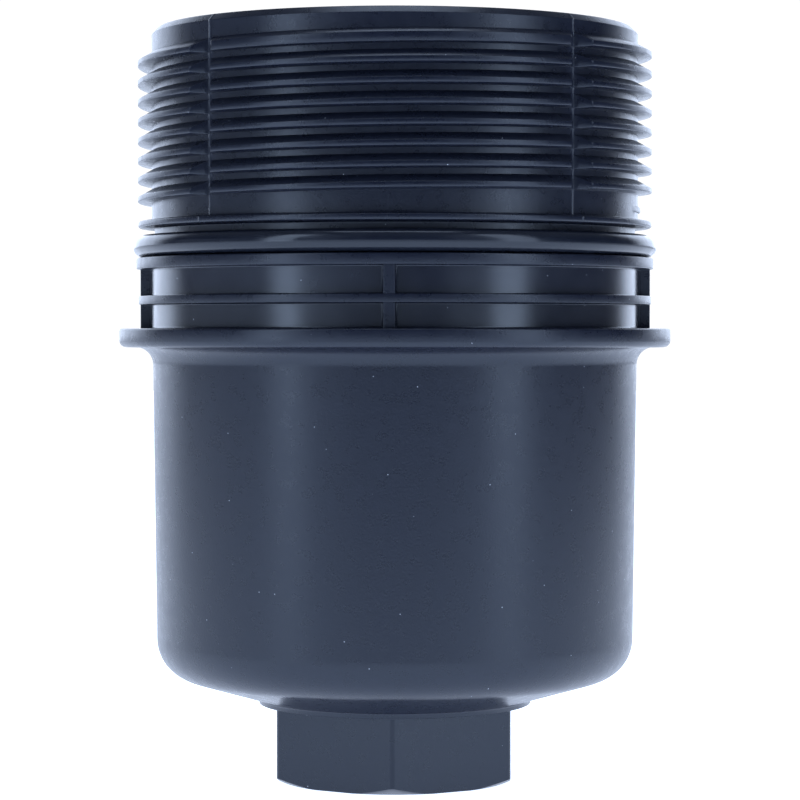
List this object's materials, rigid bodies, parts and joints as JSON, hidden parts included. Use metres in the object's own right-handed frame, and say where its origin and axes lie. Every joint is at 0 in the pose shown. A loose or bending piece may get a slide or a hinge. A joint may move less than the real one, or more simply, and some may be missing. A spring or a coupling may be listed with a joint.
{
  "type": "cartridge oil filter",
  "caption": "Screw-in oil filter cap with thread, O-ring, flange and hex, holding a pleated element, bypass valve, preload spring and drain plug.",
  "frame": {"origin": "centre of the hex's end face, on which the filter stands", "axes": "+Z along the cap's axis, from the hex towards the open threaded mouth; a corner of the hex points to -Y"},
  "size_m": [0.086, 0.086, 0.117],
  "materials": {
    "cap_nylon": "glass-filled nylon, fine moulded grain",
    "seal_rubber": "smooth, slightly oiled",
    "plug_nylon": "glass-filled nylon",
    "insert_nylon": "glass-filled nylon",
    "valve_steel": "zinc plated",
    "spring_steel": "drawn wire",
    "end_cap_plastic": "satin moulded polyamide",
    "core_plastic": "moulded",
    "filter_paper": "resin-impregnated pleated paper",
    "bead_glue": "hot-melt glue"
  },
  "bodies": {
    "cap": {"filter_cap": "cap_nylon", "cap_o_ring": "seal_rubber", "valve_carrier": "insert_nylon", "bypass_valve_seat": "valve_steel", "bypass_valve_spring": "spring_steel", "bypass_spring_retainer": "valve_steel", "preload_spring": "spring_steel"},
    "bypass_valve": {"bypass_valve_disc": "valve_steel", "bypass_valve_seal": "seal_rubber"},
    "spring_plate": {"spring_plate": "valve_steel"},
    "element": {"lower_end_cap": "end_cap_plastic", "lower_seal_ring": "seal_rubber", "centre_core": "core_plastic", "pleated_media": "filter_paper", "pleat_seam_clip": "valve_steel", "pleat_spacer_beads": "bead_glue", "upper_end_cap": "end_cap_plastic", "upper_seal_ring": "seal_rubber"},
    "drain_plug_seal": {"drain_plug_o_ring": "seal_rubber"},
    "drain_plug": {"drain_plug": "plug_nylon"}
  },
  "joints": [
    {"name": "bypass_opening", "type": "slide", "parent": "cap", "child": "bypass_valve", "axis": [0, 0, 1], "range_m": [0, 0.004], "stiffness_N_per_m": 3000, "springref_m": -0.0133, "deforming": ["bypass_valve_spring"]},
    {"name": "preload_travel", "type": "slide", "parent": "cap", "child": "spring_plate", "axis": [0, 0, 1], "range_m": [-0.003, 0], "stiffness_N_per_m": 8000, "springref_m": 0.0004, "deforming": ["preload_spring"]},
    {"name": "element_lift_out", "type": "slide", "parent": "spring_plate", "child": "element", "axis": [0, 0, 1], "range_m": [0, 0.095]},
    {"name": "drain_plug_travel", "type": "slide", "parent": "cap", "child": "drain_plug_seal", "axis": [0, 0, -1], "range_m": [0, 0.0063]},
    {"name": "drain_plug_turn", "type": "hinge", "parent": "drain_plug_seal", "child": "drain_plug", "pos_m": [0, 0, 0.003], "axis": [0, 0, -1], "range_deg": [0, 1515]}
  ],
  "couplings": [
    {"joint": "drain_plug_turn", "follows": "drain_plug_travel", "rad_per_m": 4188.8}
  ]
}
